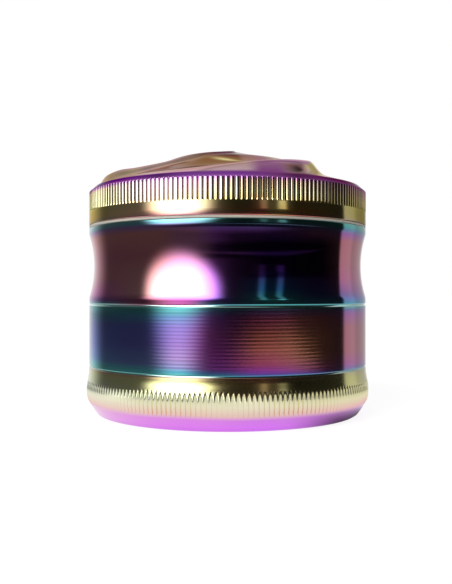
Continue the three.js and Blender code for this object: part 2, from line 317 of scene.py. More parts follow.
# ------------------------------------------------------------------ node tools
class Tree:
    def __init__(self, nt):
        self.nt = nt

    def node(self, kind, **values):
        n = self.nt.nodes.new(kind)
        for k, v in values.items():
            setattr(n, k, v)
        return n

    def link(self, a, b):
        self.nt.links.new(a, b)

    def feed(self, socket, value):
        if isinstance(value, bpy.types.NodeSocket):
            self.link(value, socket)
        elif value is not None:
            socket.default_value = value

    def math(self, op, a, b=None, c=None, clamp=False):
        n = self.node("ShaderNodeMath", operation=op, use_clamp=clamp)
        for i, v in enumerate((a, b, c)):
            if v is not None:
                self.feed(n.inputs[i], v)
        return n.outputs[0]

    def smooth(self, x, a, b):
        n = self.node("ShaderNodeMapRange", interpolation_type="SMOOTHSTEP")
        self.feed(n.inputs["Value"], x)
        lo, hi = (a, b) if a <= b else (b, a)
        n.inputs["From Min"].default_value, n.inputs["From Max"].default_value = lo, hi
        n.inputs["To Min"].default_value, n.inputs["To Max"].default_value = (0, 1) if a <= b else (1, 0)
        return n.outputs["Result"]

    def ramp(self, x, stops, interpolation="LINEAR"):
        n = self.node("ShaderNodeValToRGB")
        cr = n.color_ramp
        cr.interpolation = interpolation
        while len(cr.elements) > 1:
            cr.elements.remove(cr.elements[-1])
        for i, (p, col) in enumerate(stops):
            e = cr.elements[0] if i == 0 else cr.elements.new(p)
            e.position = p
            e.color = (*col, 1.0)
        self.feed(n.inputs[0], x)
        return n.outputs[0]

    def mix(self, fac, a, b, blend="MIX"):
        n = self.node("ShaderNodeMix", data_type="RGBA", blend_type=blend)
        self.feed(n.inputs[0], fac)
        self.feed(n.inputs[6], a if isinstance(a, bpy.types.NodeSocket) else (*a, 1.0))
        self.feed(n.inputs[7], b if isinstance(b, bpy.types.NodeSocket) else (*b, 1.0))
        return n.outputs[2]

    def noise(self, vector, scale, detail=2.0, rough=0.5):
        n = self.node("ShaderNodeTexNoise")
        self.feed(n.inputs["Vector"], vector)
        n.inputs["Scale"].default_value = scale
        n.inputs["Detail"].default_value = detail
        n.inputs["Roughness"].default_value = rough
        return n.outputs["Fac"]


def new_material(name):
    m = bpy.data.materials.new(name)
    m.use_nodes = True
    t = Tree(m.node_tree)
    b = m.node_tree.nodes["Principled BSDF"]
    co = t.node("ShaderNodeTexCoord").outputs["Object"]
    sep = t.node("ShaderNodeSeparateXYZ")
    t.link(co, sep.inputs[0])
    x = t.math("MULTIPLY", sep.outputs[0], 1000.0)
    y = t.math("MULTIPLY", sep.outputs[1], 1000.0)
    z = t.math("MULTIPLY", sep.outputs[2], 1000.0)
    az = t.math("ARCTAN2", x, t.math("MULTIPLY", y, -1.0))
    rad = t.math("SQRT", t.math("ADD", t.math("MULTIPLY", x, x), t.math("MULTIPLY", y, y)))
    return m, t, b, co, x, y, z, az, rad


def srgb(h):
    v = [int(h[i:i + 2], 16) / 255 for i in (0, 2, 4)]
    return tuple(c / 12.92 if c <= 0.04045 else ((c + 0.055) / 1.055) ** 2.4 for c in v)


def span(stops, z0, z1):
    return [((p - z0) / (z1 - z0), c) for p, c in stops]


def lathe_finish(t, b, co, z, rad, rough, marks=0.0, pitch=0.25, smudge=0.05):
    """Gloss variation and very fine turning lines shared by the coated parts."""
    big = t.noise(co, 55.0, 3.0, 0.6)
    fine = t.noise(co, 900.0, 2.0, 0.5)
    rr = t.math("ADD", t.math("MULTIPLY", big, smudge), rough - smudge * 0.5)
    rr = t.math("ADD", rr, t.math("MULTIPLY", t.math("SUBTRACT", fine, 0.5), 0.03))
    t.link(t.math("MAXIMUM", rr, 0.03), b.inputs["Roughness"])
    if marks > 0:
        comb = t.node("ShaderNodeCombineXYZ")
        t.link(t.math("MULTIPLY", rad, 1.0 / pitch), comb.inputs[0])
        t.link(t.math("MULTIPLY", z, 1.0 / pitch), comb.inputs[2])
        lines = t.noise(comb.outputs[0], 1.0, 2.0, 0.6)
        bump = t.node("ShaderNodeBump")
        bump.inputs["Strength"].default_value = marks
        bump.inputs["Distance"].default_value = 0.00002
        t.link(lines, bump.inputs["Height"])
        t.link(bump.outputs[0], b.inputs["Normal"])


def coated(name, ramps, z0, z1, rough=0.11, marks=0.12, edge=None, extra=None):
    """Rainbow-coated metal: the colour follows the coating's thickness, which drifts with height and round the part.
    Some ramps also carry painted shade and painted highlights.
    ramps: list of (azimuth centre in degrees, [(z, colour), ...]), blended round the part."""
    m, t, b, co, x, y, z, az, rad = new_material(name)
    wob = t.math("MULTIPLY", t.math("SUBTRACT", t.noise(co, 28.0, 2.0, 0.5), 0.5), 0.9)
    zz = t.math("ADD", z, wob)
    fac = t.math("DIVIDE", t.math("SUBTRACT", zz, z0), z1 - z0)
    cols = [(a, t.ramp(fac, span(st, z0, z1))) for a, st in ramps]
    wobble_az = t.math("ADD", az, t.math("MULTIPLY", t.math("SUBTRACT", t.noise(co, 22.0, 2.0, 0.5), 0.5), 0.25))
    out = cols[0][1]
    for i in range(1, len(cols)):
        a0, a1 = math.radians(cols[i - 1][0]), math.radians(cols[i][0])
        out = t.mix(t.smooth(wobble_az, a0, a1), out, cols[i][1])
    # the last colour returns to the first round the back
    if len(cols) > 1:
        out = t.mix(t.smooth(wobble_az, math.radians(120), math.radians(178)), out, cols[0][1])
    if extra:
        out = extra(t, out, x, y, z, az, rad)
    t.link(out, b.inputs["Base Color"])
    b.inputs["Metallic"].default_value = 1.0
    if edge:
        # the coat keeps its colour on the shallow slopes of the crown
        t.link(t.mix(0.18, out, (1.0, 0.94, 0.90)), b.inputs["Specular Tint"])
    lathe_finish(t, b, co, z, rad, rough, marks)
    return m


# ------------------------------------------------------------------ materials
TEAL = (0.12, 0.42, 0.42)
# pale colour of the broken top edges: a painted highlight
PAINTED_EDGE_HIGHLIGHT = (0.52, 0.80, 0.76)


def painted_edge_highlight(z0, colour):
    """Painted highlight: a pale band over the broken edge at the top of a ring, standing in for the light the edge
    catches.
    """
    def extra(t, out, x, y, z, az, rad):
        on = t.math("MULTIPLY", t.smooth(z, z0, z0 + 0.05), t.smooth(rad, 30.7, 30.75))
        return t.mix(on, out, colour)
    return extra



# the pale line at the top edge of the base is a painted highlight
mat_base = coated("rainbow_base", [
    (-70, [(0.0, (0.70, 0.30, 0.70)), (1.2, (0.84, 0.38, 0.82)), (2.6, (0.84, 0.44, 0.72)), (3.6, (0.88, 0.66, 0.58)), (5.2, (0.86, 0.84, 0.64)), (6.8, (0.84, 0.88, 0.68)), (8.0, (0.62, 0.66, 0.42)), (9.6, (0.54, 0.58, 0.30)), (10.6, (0.56, 0.44, 0.26)), (10.9, (0.50, 0.62, 0.60))]),
    (-12, [(0.0, (0.66, 0.18, 0.84)), (1.2, (0.78, 0.23, 0.92)), (2.6, (0.76, 0.26, 0.84)), (3.5, (0.84, 0.58, 0.50)), (5.2, (0.84, 0.78, 0.56)), (6.8, (0.80, 0.82, 0.54)), (8.0, (0.62, 0.60, 0.30)), (9.6, (0.62, 0.60, 0.26)), (10.6, (0.60, 0.42, 0.24)), (10.9, (0.44, 0.62, 0.62))]),
    (16, [(0.0, (0.62, 0.16, 0.84)), (1.2, (0.72, 0.20, 0.94)), (2.6, (0.68, 0.22, 0.82)), (3.5, (0.80, 0.56, 0.50)), (5.2, (0.82, 0.76, 0.56)), (6.8, (0.82, 0.78, 0.52)), (8.0, (0.86, 0.62, 0.28)), (9.4, (0.98, 0.66, 0.24)), (10.6, (0.84, 0.30, 0.20)), (10.9, (0.34, 0.52, 0.56))]),
    (23, [(0.0, (0.60, 0.16, 0.80)), (1.2, (0.70, 0.20, 0.90)), (2.6, (0.67, 0.23, 0.80)), (3.5, (0.81, 0.55, 0.49)), (5.2, (0.82, 0.76, 0.54)), (6.8, (0.80, 0.76, 0.48)), (8.0, (0.50, 0.44, 0.20)), (9.4, (0.34, 0.30, 0.12)), (10.6, (0.34, 0.20, 0.14)), (10.9, (0.36, 0.53, 0.56))]),
    (50, [(0.0, (0.50, 0.14, 0.62)), (1.2, (0.60, 0.19, 0.72)), (2.6, (0.62, 0.24, 0.70)), (3.6, (0.82, 0.52, 0.48)), (5.2, (0.80, 0.74, 0.48)), (6.8, (0.78, 0.74, 0.42)), (8.0, (0.62, 0.58, 0.26)), (9.6, (0.56, 0.54, 0.22)), (10.6, (0.50, 0.46, 0.24)), (10.9, (0.44, 0.58, 0.56))]),
], 0.0, 10.9, rough=0.13, extra=painted_edge_highlight(10.62, (0.42, 0.54, 0.50)))
# the pale stops at the top edge of the barrel and its pale edge line are a painted highlight
mat_barrel = coated("rainbow_barrel", [
    (-84, [(10.9, (0.36, 0.42, 0.32)), (12.2, (0.17, 0.19, 0.22)), (16.0, (0.15, 0.16, 0.20)), (22.2, (0.14, 0.16, 0.20)), (23.4, (0.14, 0.22, 0.24)), (24.4, TEAL)]),
    (-68, [(10.9, (0.16, 0.62, 0.52)), (11.8, (0.13, 0.52, 0.58)), (13.2, (0.14, 0.30, 0.64)), (16.0, (0.12, 0.18, 0.56)), (20.0, (0.09, 0.13, 0.42)), (22.2, (0.05, 0.18, 0.28)), (23.4, (0.07, 0.34, 0.38)), (24.4, TEAL)]),
    (-33, [(10.9, (0.19, 0.61, 0.61)), (11.7, (0.12, 0.54, 0.61)), (13.0, (0.17, 0.25, 0.54)), (17.0, (0.13, 0.13, 0.45)), (20.5, (0.11, 0.13, 0.40)), (22.2, (0.08, 0.23, 0.38)), (23.4, (0.06, 0.25, 0.26)), (24.12, TEAL), (24.3, PAINTED_EDGE_HIGHLIGHT), (24.4, PAINTED_EDGE_HIGHLIGHT)]),
    (-17, [(10.9, (0.16, 0.61, 0.61)), (11.6, (0.12, 0.47, 0.61)), (12.4, (0.31, 0.32, 0.61)), (14.0, (0.38, 0.25, 0.54)), (17.0, (0.27, 0.16, 0.45)), (20.0, (0.20, 0.14, 0.40)), (22.0, (0.11, 0.18, 0.34)), (23.0, (0.07, 0.23, 0.26)), (24.12, TEAL), (24.3, PAINTED_EDGE_HIGHLIGHT), (24.4, PAINTED_EDGE_HIGHLIGHT)]),
    (-3, [(10.9, (0.11, 0.56, 0.63)), (11.5, (0.15, 0.25, 0.73)), (12.3, (0.40, 0.09, 0.51)), (14.5, (0.42, 0.08, 0.43)), (19.0, (0.38, 0.08, 0.36)), (22.2, (0.25, 0.09, 0.40)), (23.3, (0.12, 0.17, 0.37)), (24.12, TEAL), (24.3, PAINTED_EDGE_HIGHLIGHT), (24.4, PAINTED_EDGE_HIGHLIGHT)]),
    (14, [(10.9, (0.13, 0.57, 0.78)), (11.4, (0.34, 0.18, 0.98)), (12.0, (0.73, 0.13, 0.86)), (13.2, (0.94, 0.17, 0.39)), (16.0, (0.96, 0.26, 0.22)), (19.0, (0.81, 0.21, 0.17)), (22.0, (0.65, 0.12, 0.26)), (23.4, (0.31, 0.18, 0.49)), (24.12, TEAL), (24.3, PAINTED_EDGE_HIGHLIGHT), (24.4, PAINTED_EDGE_HIGHLIGHT)]),
    (36, [(10.9, (0.13, 0.57, 0.78)), (11.4, (0.39, 0.18, 0.78)), (12.2, (0.81, 0.23, 0.44)), (14.5, (0.98, 0.39, 0.26)), (18.0, (0.98, 0.39, 0.23)), (22.0, (0.73, 0.23, 0.23)), (23.4, (0.36, 0.23, 0.42)), (24.12, TEAL), (24.3, PAINTED_EDGE_HIGHLIGHT), (24.4, PAINTED_EDGE_HIGHLIGHT)]),
    (52, [(10.9, (0.16, 0.44, 0.50)), (11.6, (0.26, 0.18, 0.44)), (12.6, (0.42, 0.14, 0.34)), (15.0, (0.44, 0.17, 0.22)), (20.0, (0.43, 0.17, 0.22)), (22.6, (0.36, 0.14, 0.36)), (23.5, (0.20, 0.18, 0.40)), (24.12, TEAL), (24.3, PAINTED_EDGE_HIGHLIGHT), (24.4, PAINTED_EDGE_HIGHLIGHT)]),
], 10.9, 24.4, rough=0.11, marks=0.18, extra=painted_edge_highlight(24.02, PAINTED_EDGE_HIGHLIGHT))
mat_cup = coated("rainbow_cup", [
    (-62, [(24.4, TEAL), (25.2, (0.20, 0.10, 0.34)), (26.6, (0.50, 0.12, 0.36)), (30.0, (0.46, 0.17, 0.22)), (34.0, (0.44, 0.14, 0.20)), (38.4, (0.52, 0.20, 0.20)), (39.6, (0.30, 0.18, 0.40)), (40.2, (0.16, 0.40, 0.44)), (41.05, (0.34, 0.48, 0.46))]),
    (-30, [(24.4, (0.30, 0.10, 0.16)), (25.3, (0.26, 0.07, 0.14)), (26.6, (0.58, 0.30, 0.28)), (30.0, (0.54, 0.26, 0.26)), (34.0, (0.46, 0.17, 0.20)), (38.4, (0.52, 0.21, 0.20)), (39.6, (0.30, 0.16, 0.42)), (40.2, (0.13, 0.32, 0.40)), (41.05, (0.16, 0.38, 0.38))]),
    (-16, [(24.4, (0.30, 0.08, 0.22)), (25.3, (0.26, 0.05, 0.20)), (26.6, (0.56, 0.28, 0.46)), (30.0, (0.54, 0.26, 0.44)), (34.0, (0.50, 0.20, 0.38)), (38.4, (0.38, 0.15, 0.26)), (39.6, (0.16, 0.08, 0.26)), (40.2, (0.12, 0.26, 0.32)), (41.05, (0.16, 0.32, 0.32))]),
    # painted shade: at -3, 16 and 36 degrees the coat turns near black through the middle of the waist, darkening the
    # reflections there and giving the reflected soft box a domed top
    (-3, [(24.4, TEAL), (25.2, (0.20, 0.12, 0.56)), (26.6, (0.30, 0.12, 0.50)), (30.0, (0.32, 0.11, 0.46)), (33.1, (0.30, 0.085, 0.40)), (33.7, (0.07, 0.02, 0.10)), (35.8, (0.07, 0.02, 0.10)), (36.9, (0.30, 0.085, 0.42)), (38.4, (0.24, 0.06, 0.36)), (39.6, (0.10, 0.08, 0.28)), (40.2, (0.12, 0.30, 0.34)), (41.05, (0.14, 0.34, 0.34))]),
    (16, [(24.4, TEAL), (25.2, (0.10, 0.50, 0.56)), (26.0, (0.12, 0.66, 0.74)), (27.5, (0.05, 0.30, 0.72)), (29.4, (0.08, 0.16, 0.52)), (30.1, (0.03, 0.02, 0.14)), (31.4, (0.02, 0.006, 0.06)), (36.2, (0.02, 0.006, 0.06)), (37.3, (0.16, 0.05, 0.34)), (38.4, (0.26, 0.07, 0.44)), (39.6, (0.18, 0.14, 0.46)), (40.2, (0.12, 0.34, 0.36)), (41.05, (0.12, 0.36, 0.32))]),
    (36, [(24.4, TEAL), (25.2, (0.10, 0.30, 0.46)), (26.6, (0.10, 0.12, 0.40)), (29.4, (0.12, 0.05, 0.28)), (30.2, (0.04, 0.012, 0.10)), (31.4, (0.02, 0.006, 0.04)), (36.2, (0.02, 0.006, 0.04)), (37.3, (0.16, 0.05, 0.14)), (38.4, (0.44, 0.14, 0.30)), (39.6, (0.24, 0.18, 0.40)), (40.2, (0.12, 0.34, 0.36)), (41.05, (0.12, 0.36, 0.32))]),
    (52, [(24.4, TEAL), (25.0, (0.09, 0.30, 0.50)), (25.8, (0.18, 0.21, 0.52)), (27.2, (0.34, 0.15, 0.38)), (29.8, (0.46, 0.15, 0.27)), (34.0, (0.45, 0.16, 0.20)), (37.4, (0.45, 0.15, 0.20)), (38.8, (0.32, 0.12, 0.38)), (39.6, (0.12, 0.24, 0.40)), (40.3, (0.08, 0.38, 0.36)), (41.05, (0.16, 0.36, 0.34))]),
], 24.4, 41.05, rough=0.085, marks=0.06)


def crown_colour(t, out, x, y, z, az, rad):
    crest = t.node("ShaderNodeAttribute", attribute_name="crest").outputs["Fac"]
    flank_glint = t.node("ShaderNodeAttribute", attribute_name="flank_glint").outputs["Fac"]
    r = t.math("DIVIDE", rad, 31.0)
    drift = t.math("ADD", az, t.math("MULTIPLY", t.math("SUBTRACT", t.noise(t.node("ShaderNodeTexCoord").outputs["Object"], 40.0, 2.0, 0.5), 0.5), 0.12))
    west = t.ramp(r, [(0.0, (0.52, 0.34, 0.38)), (0.40, (0.60, 0.42, 0.38)), (0.60, (0.66, 0.46, 0.44)), (0.78, (0.66, 0.46, 0.44)), (0.85, (0.62, 0.44, 0.30)), (0.90, (0.80, 0.60, 0.44)), (0.93, (0.86, 0.66, 0.64)), (0.952, (0.80, 0.62, 0.66)), (0.962, (0.40, 0.18, 0.44))])
    middle = t.ramp(r, [(0.0, (0.34, 0.21, 0.24)), (0.34, (0.28, 0.15, 0.19)), (0.46, (0.40, 0.25, 0.16)), (0.60, (0.44, 0.27, 0.15)), (0.78, (0.56, 0.34, 0.22)), (0.86, (0.72, 0.48, 0.42)), (0.92, (0.80, 0.54, 0.54)), (0.946, (0.90, 0.62, 0.68)), (0.960, (0.44, 0.15, 0.46))])
    east = t.ramp(r, [(0.0, (0.46, 0.30, 0.34)), (0.34, (0.42, 0.26, 0.30)), (0.50, (0.56, 0.38, 0.32)), (0.64, (0.56, 0.34, 0.42)), (0.78, (0.60, 0.36, 0.46)), (0.88, (0.56, 0.28, 0.42)), (0.93, (0.50, 0.19, 0.44)), (0.95, (0.44, 0.13, 0.42)), (0.962, (0.36, 0.10, 0.36))])
    brown = t.ramp(r, [(0.0, (0.46, 0.30, 0.34)), (0.50, (0.56, 0.34, 0.40)), (0.74, (0.56, 0.32, 0.38)), (0.83, (0.44, 0.20, 0.20)), (0.90, (0.44, 0.19, 0.19)), (0.93, (0.60, 0.32, 0.34)), (0.952, (0.66, 0.40, 0.44)), (0.962, (0.38, 0.12, 0.26))])
    olive = t.ramp(r, [(0.0, (0.48, 0.32, 0.36)), (0.50, (0.60, 0.42, 0.40)), (0.74, (0.62, 0.48, 0.38)), (0.83, (0.80, 0.70, 0.30)), (0.92, (0.85, 0.72, 0.40)), (0.952, (0.80, 0.62, 0.52)), (0.962, (0.40, 0.13, 0.26))])
    far = t.ramp(r, [(0.0, (0.52, 0.36, 0.38)), (0.50, (0.74, 0.62, 0.50)), (0.86, (0.90, 0.84, 0.66)), (0.925, (0.92, 0.86, 0.70)), (0.952, (0.88, 0.80, 0.66)), (0.962, (0.42, 0.14, 0.28))])
    crown = t.mix(t.smooth(drift, -0.95, -0.25), west, middle)
    crown = t.mix(t.smooth(drift, 0.12, 0.24), crown, east)
    crown = t.mix(t.smooth(drift, 0.34, 0.46), crown, brown)
    crown = t.mix(t.smooth(drift, 0.53, 0.62), crown, olive)
    crown = t.mix(t.smooth(drift, 0.66, 0.78), crown, far)
    crown = t.mix(t.smooth(drift, 1.5, 2.2), crown, west)
    side = t.math("MULTIPLY", t.smooth(az, 0.02, 0.22), t.smooth(az, 2.2, 1.5))
    line = t.mix(side, (0.60, 0.42, 0.46), (0.80, 0.48, 0.72))
    crown = t.mix(t.math("MULTIPLY", t.smooth(crest, 0.82, 0.99), t.math("ADD", 0.4, t.math("MULTIPLY", side, 0.4))), crown, line)
    # painted glint: gold along the steep flank of each swirl
    gold = t.mix(side, (0.84, 0.66, 0.48), (0.66, 0.42, 0.20))
    crown = t.mix(t.math("MULTIPLY", flank_glint, t.math("ADD", 0.35, t.math("MULTIPLY", side, 0.4))), crown, gold)
    def painted_streak(a0, wa, r0, wr, slope, k, colour, base):
        # slope is the streak's drift outward per radian
        u = t.math("DIVIDE", t.math("SUBTRACT", az, a0), wa)
        v = t.math("DIVIDE", t.math("SUBTRACT", t.math("SUBTRACT", r, r0), t.math("MULTIPLY", t.math("SUBTRACT", az, a0), slope)), wr)
        on = t.math("EXPONENT", t.math("MULTIPLY", t.math("ADD", t.math("MULTIPLY", u, u), t.math("MULTIPLY", v, v)), -1.0))
        return t.mix(t.math("MULTIPLY", on, k), base, colour)

    # two painted gold highlights on the flanks of the swirls
    crown = painted_streak(-1.18, 0.13, 0.757, 0.018, -0.55, 0.9, (1.0, 0.82, 0.50), crown)
    crown = painted_streak(-0.02, 0.17, 0.525, 0.028, 0.25, 0.95, (1.0, 0.90, 0.52), crown)
    # and painted shade in the creases beside them
    crown = painted_streak(-0.60, 0.32, 0.69, 0.022, 0.06, 0.6, (0.40, 0.22, 0.34), crown)
    crown = painted_streak(0.02, 0.20, 0.43, 0.03, 0.15, 0.6, (0.22, 0.10, 0.16), crown)
    return t.mix(t.smooth(rad, 29.95, 29.75), out, crown)


mat_lid = coated("rainbow_lid", [
    (-62, [(41.6, (0.50, 0.44, 0.34)), (42.4, (0.66, 0.52, 0.26)), (44.3, (0.66, 0.56, 0.24)), (45.2, (0.96, 0.92, 0.52)), (46.5, (0.96, 0.92, 0.56)), (48.2, (0.90, 0.78, 0.52)), (48.8, (0.52, 0.26, 0.50)), (49.3, (0.28, 0.11, 0.36)), (50.1, (0.20, 0.06, 0.26))]),
    (-28, [(41.6, (0.84, 0.40, 0.40)), (42.6, (0.90, 0.56, 0.34)), (44.3, (0.66, 0.52, 0.30)), (45.2, (0.84, 0.66, 0.56)), (46.5, (0.86, 0.66, 0.64)), (48.2, (0.84, 0.60, 0.72)), (48.8, (0.56, 0.24, 0.60)), (49.3, (0.30, 0.10, 0.42)), (50.1, (0.22, 0.06, 0.32))]),
    (-12, [(41.6, (0.80, 0.40, 0.44)), (42.5, (0.76, 0.56, 0.38)), (44.3, (0.62, 0.54, 0.28)), (45.2, (0.84, 0.72, 0.50)), (46.5, (0.84, 0.66, 0.60)), (48.2, (0.80, 0.54, 0.66)), (48.8, (0.60, 0.26, 0.68)), (49.3, (0.34, 0.10, 0.50)), (50.1, (0.26, 0.06, 0.40))]),
    (4, [(41.6, (0.74, 0.26, 0.22)), (42.6, (0.74, 0.44, 0.16)), (44.3, (0.66, 0.52, 0.20)), (46.0, (0.80, 0.70, 0.40)), (48.2, (0.66, 0.46, 0.38)), (48.8, (0.56, 0.22, 0.62)), (49.3, (0.34, 0.09, 0.50)), (50.1, (0.28, 0.06, 0.42))]),
    (11, [(41.6, (0.90, 0.26, 0.20)), (42.6, (0.96, 0.34, 0.18)), (44.3, (0.80, 0.46, 0.20)), (46.0, (0.80, 0.70, 0.40)), (48.2, (0.62, 0.44, 0.34)), (48.8, (0.50, 0.19, 0.52)), (49.3, (0.33, 0.09, 0.42)), (50.1, (0.30, 0.07, 0.34))]),
    (17, [(41.6, (0.94, 0.44, 0.22)), (42.6, (0.98, 0.72, 0.24)), (44.3, (0.92, 0.74, 0.28)), (46.0, (0.80, 0.70, 0.40)), (48.2, (0.58, 0.40, 0.32)), (48.8, (0.46, 0.17, 0.44)), (49.3, (0.32, 0.09, 0.34)), (50.1, (0.30, 0.08, 0.28))]),
    (26, [(41.6, (0.70, 0.24, 0.20)), (42.6, (0.80, 0.40, 0.10)), (44.3, (0.66, 0.48, 0.16)), (46.0, (0.70, 0.62, 0.36)), (48.2, (0.52, 0.36, 0.28)), (48.8, (0.44, 0.16, 0.42)), (49.3, (0.32, 0.09, 0.32)), (50.1, (0.30, 0.08, 0.26))]),
    (52, [(41.6, (0.46, 0.38, 0.26)), (42.4, (0.46, 0.40, 0.19)), (44.3, (0.46, 0.41, 0.18)), (46.0, (0.52, 0.44, 0.24)), (48.2, (0.44, 0.30, 0.30)), (48.8, (0.42, 0.18, 0.38)), (49.3, (0.32, 0.11, 0.24)), (50.1, (0.28, 0.09, 0.18))]),
], 41.6, 50.1, rough=0.10, extra=crown_colour, edge=True)


def plain_metal(name, colour, rough, marks=0.2):
    m, t, b, co, x, y, z, az, rad = new_material(name)
    tint = t.noise(co, 120.0, 3.0, 0.6)
    col = t.mix(tint, tuple(c * 0.86 for c in colour), colour)
    t.link(col, b.inputs["Base Color"])
    b.inputs["Metallic"].default_value = 1.0
    lathe_finish(t, b, co, z, rad, rough, marks)
    return m


mat_steel = plain_metal("stainless_steel", (0.66, 0.66, 0.68), 0.24, 0.3)
mat_wire = plain_metal("sieve_wire", (0.60, 0.60, 0.60), 0.30, 0.0)
mat_nickel = plain_metal("nickel_plate", (0.80, 0.78, 0.75), 0.12, 0.15)


def nylon_material():
    m, t, b, co, x, y, z, az, rad = new_material("natural_nylon")
    n = t.noise(co, 260.0, 3.0, 0.6)
    t.link(t.mix(n, srgb("98928a"), srgb("b3ada2")), b.inputs["Base Color"])
    b.inputs["Roughness"].default_value = 0.5
    b.inputs["Subsurface Weight"].default_value = 0.15
    b.inputs["Subsurface Scale"].default_value = 0.001
    bump = t.node("ShaderNodeBump")
    bump.inputs["Strength"].default_value = 0.2
    bump.inputs["Distance"].default_value = 0.00003
    t.link(n, bump.inputs["Height"])
    t.link(bump.outputs[0], b.inputs["Normal"])
    return m


mat_nylon = nylon_material()


def dress(ob, material, body, slot, *nodes):
    ob.data.materials.clear()
    ob.data.materials.append(material)
    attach(ob, body)
    if nodes:
        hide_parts(*nodes)


# ------------------------------------------------------------------ catch base
def knurled(radius_at, depth_at, zs, phase=0.0, pointed=True):
    """Rings of the knurled belt: pointed grooves side by side, or shallow cuts with lands between."""
    if pointed:
        u = np.array([-0.5, -1 / 3, -1 / 6, 0, 1 / 6, 1 / 3])
    else:
        u = np.array([-0.5, -0.455, -0.40, -0.30, -0.20, -0.10, 0.0, 0.10, 0.20, 0.30, 0.40, 0.455])
    ang = ((np.arange(GROOVES)[:, None] + u[None, :]) * TAU / GROOVES).ravel() + phase
    uu = np.tile(u, GROOVES)
    out = []
    for z in zs:
        r, d = radius_at(z), depth_at(z)
        if pointed:
            cut = np.clip(d - np.abs(uu) * 2 * 0.31, 0, None)
        else:
            cut = d * np.interp(np.abs(uu), [0.0, 0.10, 0.20, 0.30, 0.40, 0.455, 0.5], [0.0, 0.022, 0.085, 0.20, 0.44, 0.84, 1.0])
        out.append((len(ang), r - cut, z, ang))
    return out


def build_base():
    flare = monotone([0.45, 1.7, 3.1, 4.0, 4.7, 5.8, 7.15, 8.5, 9.8, 10.7], [29.3, 30.2, 31.05, 31.47, 31.6, 31.56, 31.42, 31.22, 31.04, 31.0])
    chamfer = lambda z: float(flare(z))
    cut = monotone([2.82, 2.95, 3.15, 3.45, 3.8, 4.6, 5.4, 6.2, 6.8, 7.4, 7.8, 8.12], [0.0, 0.035, 0.13, 0.27, 0.375, 0.385, 0.345, 0.285, 0.225, 0.12, 0.05, 0.0])
    depth = lambda z: float(cut(z)) if 2.82 <= z <= 8.12 else 0.0
    coarse = 384
    bottom = rounded([(0, 0.0), (24.6, 0.0, 0.05), (24.75, 0.16, 0.05), (24.95, 0.16, 0.05), (25.1, 0.0, 0.05), (28.0, 0.0, 0.3), (28.8, 0.14, 0.6), (29.3, 0.45, 0.5), (chamfer(1.1), 1.1), (chamfer(1.7), 1.7), (chamfer(2.3), 2.3)])
    rings = rings_from(bottom, coarse)
    rings += knurled(chamfer, depth, [2.78, 2.86, 2.95, 3.05, 3.15, 3.25, 3.35, 3.5, 3.7, 3.95, 4.3, 4.7, 5.2, 5.8, 6.2, 6.5, 6.8, 7.0, 7.2, 7.4, 7.6, 7.8, 8.0, 8.12])
    upper = [(float(flare(z)), z, None) for z in (8.35, 8.7, 9.1, 9.5, 10.0, 10.4)]
    inner = rounded([(31.0, 10.5), (31.0, 10.6), (30.85, 10.82), (30.82, 10.9), (28.75, 10.9, 0.05), (28.2, 10.35, 0.05), (28.2, 10.3)])
    rings += rings_from(upper + inner, coarse)
    thread = [(28.12, z, "f") for z in np.arange(10.2, 6.2, -0.125)]
    fl = {"f": lambda r, z, a: (r + 0.34 * smoothstep(6.3, 6.8, z) * (1 - smoothstep(9.8, 10.2, z)) * thread_wave(z / THREAD_PITCH - a / TAU), z)}
    rings += rings_from(thread, coarse, fl)
    bowl = rounded([(28.12, 6.15), (28.12, 5.9, 0.1), (25.05, 5.9, 0.15), (25.0, 1.6, 2.0), (0, 1.6)], steps=8)
    rings += rings_from(bowl, coarse)
    v, f = revolve(rings, closed=False)
    ob = mesh_object("catch_base_shell", v, f, 28)
    dress(ob, mat_base, "base", "base_metal", "catch_base")
    return ob


# ------------------------------------------------------------------ sieve barrel
def build_barrel():
    seg = 320
    lower = rounded([(25.0, 9.0), (25.0, 6.2, 0.25), (27.5, 6.2, 0.1), (27.62, 6.45)])
    rings = rings_from(lower, seg)
    zs = np.arange(6.5, 10.25, 0.125)
    rings += rings_from([(27.62, z, "m") for z in zs], seg, {"m": male_thread(6.5, 10.2, 0.36)})
    edge = rounded([(27.6, 10.3), (27.6, 10.9, 0.1), (30.80, 10.9), (31.0, 11.12), (31.0, 11.4)])
    rings += rings_from(edge, seg)
    # turning marks: shallow rings at the feed of the tool
    zz = np.arange(11.5, 24.06, 0.1)
    turn = [(31.0 - 0.0024 * (0.5 - 0.5 * math.cos(TAU * z / 0.7)) * float(smoothstep(11.5, 12.1, z) * (1 - smoothstep(23.4, 24.0, z))), z, None) for z in zz]
    rings += rings_from(turn, seg)
    top = rounded([(31.0, 24.0), (31.0, 24.05), (30.83, 24.3), (30.80, 24.4), (28.75, 24.4, 0.05), (28.15, 23.9, 0.05)])
    rings += rings_from(top, seg)
    fem = {"f": lambda r, z, a: (r + 0.34 * smoothstep(20.0, 20.5, z) * (1 - smoothstep(23.4, 23.8, z)) * thread_wave(z / THREAD_PITCH - a / TAU), z)}
    rings += rings_from([(28.12, z, "f") for z in np.arange(23.8, 19.95, -0.125)], seg, fem)
    inner = rounded([(28.12, 19.9), (28.12, 19.7, 0.1), (26.75, 19.7, 0.2), (26.75, 14.22, 0.03), (27.35, 14.2, 0.05), (27.35, 13.22, 0.05), (26.75, 13.2, 0.03), (26.75, 12.2, 0.05), (25.0, 12.2, 0.15), (25.0, 9.2)])
    rings += rings_from(inner, seg)
    v, f = revolve(rings, closed=True)
    ob = mesh_object("collection_barrel_shell", v, f, 28)
    dress(ob, mat_barrel, "barrel", "barrel_metal", "collection_barrel")


